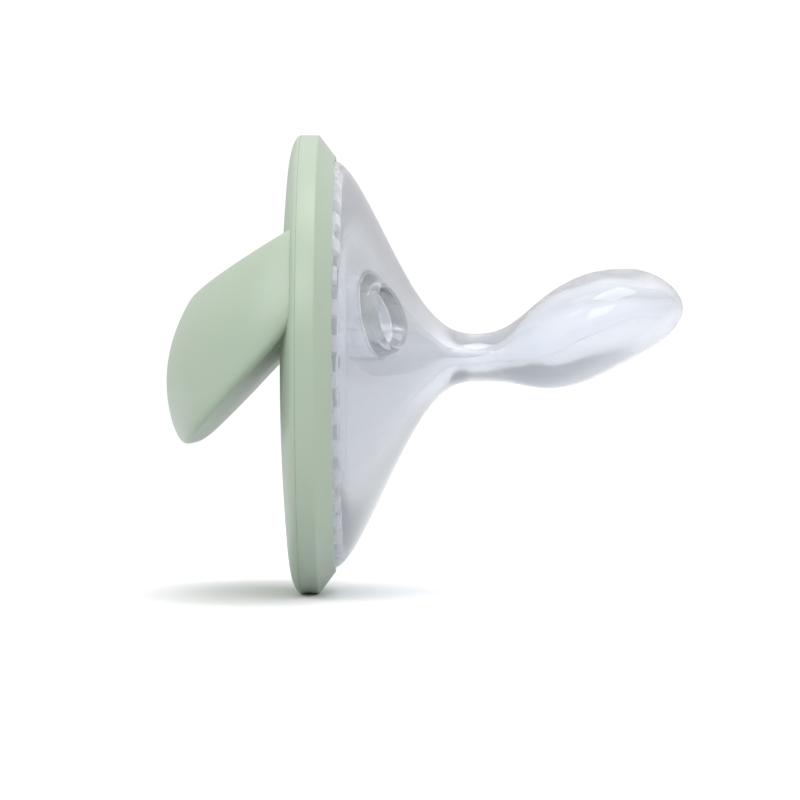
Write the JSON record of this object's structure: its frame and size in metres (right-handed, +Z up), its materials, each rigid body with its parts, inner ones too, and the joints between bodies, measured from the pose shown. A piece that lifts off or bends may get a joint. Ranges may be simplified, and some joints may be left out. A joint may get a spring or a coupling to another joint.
{
  "type": "pacifier",
  "caption": "Baby's soother: oval domed shield with a scoop-shaped grip in front and a clear hollow silicone teat with a funnel-shaped base behind.",
  "frame": {"origin": "on the shield's axis, in the rear plane of the clamp ring where the silicone leaves it", "axes": "+X along the teat towards its tip, +Y across the shield's width, +Z up, towards the side that the vents and the tip are on"},
  "size_m": [0.0459, 0.048, 0.041],
  "materials": {
    "sage_plastic": "moulded polypropylene in sage green with a soft satin gloss",
    "clear_plastic": "natural moulded polypropylene, translucent and smooth",
    "clear_silicone": "clear liquid silicone rubber, glossy"
  },
  "bodies": {
    "root": {"front_cover": "sage_plastic", "clamp_ring": "sage_plastic", "handle": "sage_plastic", "support_ring": "clear_plastic", "teat": "clear_silicone"}
  },
  "joints": []
}
